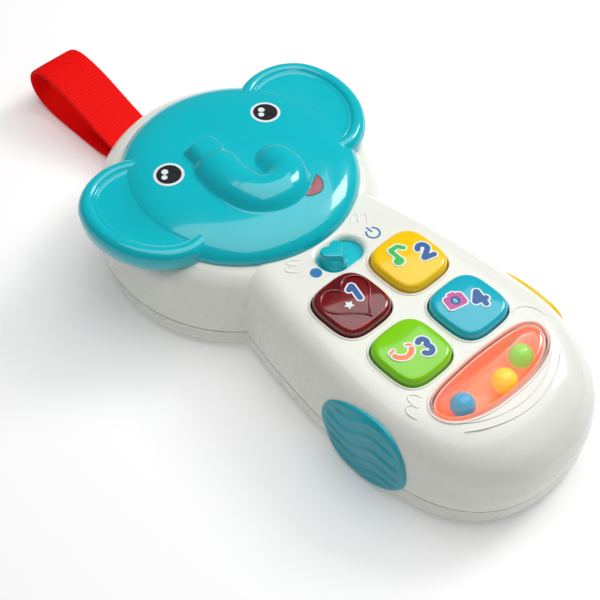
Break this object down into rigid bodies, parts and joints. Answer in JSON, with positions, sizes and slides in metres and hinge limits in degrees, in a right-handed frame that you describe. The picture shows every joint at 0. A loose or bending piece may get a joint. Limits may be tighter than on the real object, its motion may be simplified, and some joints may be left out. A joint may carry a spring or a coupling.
{
  "type": "toy cell phone",
  "caption": "Chunky toy phone with a round animal face, coloured push keys, a slide switch, a bead rattle window, soft side grips and a fabric wrist strap.",
  "frame": {"origin": "centre of the round head, on the flat back that the toy lies on", "axes": "+Z out of the front, away from the back; +Y from the keys towards the strap; +X to the right of someone looking at the face"},
  "size_m": [0.0962, 0.2254, 0.042],
  "materials": {
    "white_shell": "glossy moulded ABS, slightly warm white",
    "turquoise": "glossy moulded ABS, turquoise",
    "yellow_grip": "soft yellow overmould",
    "turquoise_grip": "soft turquoise overmould",
    "red_key": "translucent dark red plastic",
    "yellow_key": "translucent yellow plastic",
    "green_key": "translucent green plastic",
    "blue_key": "translucent turquoise-blue plastic",
    "clear_lens": "clear polystyrene",
    "orange_tray": "glossy orange-red plastic",
    "blue_bead": "glossy blue plastic",
    "yellow_bead": "glossy yellow plastic",
    "green_bead": "glossy green plastic",
    "red_webbing": "red polyester webbing",
    "silicone": "grey silicone rubber",
    "board": "green fibreglass board",
    "black_plastic": "black moulded plastic",
    "lamp": "clear epoxy lamp",
    "steel": "plated steel",
    "cell_jacket": "plain dark printed sleeve",
    "speaker_metal": "stamped steel"
  },
  "bodies": {
    "casing": {"front_casing": "white_shell", "rear_casing": "white_shell", "face_plate": "turquoise", "keypad_mat": "silicone", "circuit_board": "board", "button_light": "lamp", "slide_switch": "black_plastic", "rattle_window": "clear_lens", "rattle_tray": "orange_tray", "left_grip": "turquoise_grip", "right_grip": "yellow_grip", "speaker": "speaker_metal", "strap_tail": "red_webbing", "strap_pin": "steel", "left_battery": "cell_jacket", "right_battery": "cell_jacket", "battery_plates": "steel", "battery_springs": "steel", "case_screws": "steel", "board_screws": "steel", "face_screws": "steel"},
    "red_key": {"red_button": "red_key"},
    "yellow_key": {"yellow_button": "yellow_key"},
    "green_key": {"green_button": "green_key"},
    "blue_key": {"blue_button": "blue_key"},
    "power_slide": {"slide_knob": "turquoise", "switch_lever": "black_plastic"},
    "blue_ball": {"blue_bead": "blue_bead"},
    "yellow_ball": {"yellow_bead": "yellow_bead"},
    "green_ball": {"green_bead": "green_bead"},
    "strap": {"strap_loop": "red_webbing"},
    "door": {"battery_door": "white_shell", "door_screws": "steel"}
  },
  "joints": [
    {"name": "red_press", "type": "slide", "parent": "casing", "child": "red_key", "axis": [0, 0, -1], "range_m": [0, 0.0016], "stiffness_N_per_m": 600, "springref_m": -0.001, "deforming": ["keypad_mat"]},
    {"name": "yellow_press", "type": "slide", "parent": "casing", "child": "yellow_key", "axis": [0, 0, -1], "range_m": [0, 0.0016], "stiffness_N_per_m": 600, "springref_m": -0.001},
    {"name": "green_press", "type": "slide", "parent": "casing", "child": "green_key", "axis": [0, 0, -1], "range_m": [0, 0.0016], "stiffness_N_per_m": 600, "springref_m": -0.001},
    {"name": "blue_press", "type": "slide", "parent": "casing", "child": "blue_key", "axis": [0, 0, -1], "range_m": [0, 0.0016], "stiffness_N_per_m": 600, "springref_m": -0.001},
    {"name": "power_switch", "type": "slide", "parent": "casing", "child": "power_slide", "axis": [1, 0, 0], "range_m": [0, 0.005]},
    {"name": "blue_roll", "type": "slide", "parent": "casing", "child": "blue_ball", "axis": [1, 0, 0], "range_m": [-0.0058, 0.0031]},
    {"name": "yellow_roll", "type": "slide", "parent": "casing", "child": "yellow_ball", "axis": [1, 0, 0], "range_m": [-0.0035, 0.0007]},
    {"name": "green_roll", "type": "slide", "parent": "casing", "child": "green_ball", "axis": [1, 0, 0], "range_m": [-0.001, 0.0011]},
    {"name": "strap_swing", "type": "hinge", "parent": "casing", "child": "strap", "pos_m": [0, 0.0454, 0.0066], "axis": [1, 0, 0], "range_deg": [0, 70]},
    {"name": "door_lift", "type": "slide", "parent": "casing", "child": "door", "axis": [0, 0, -1], "range_m": [0, 0.01]}
  ]
}
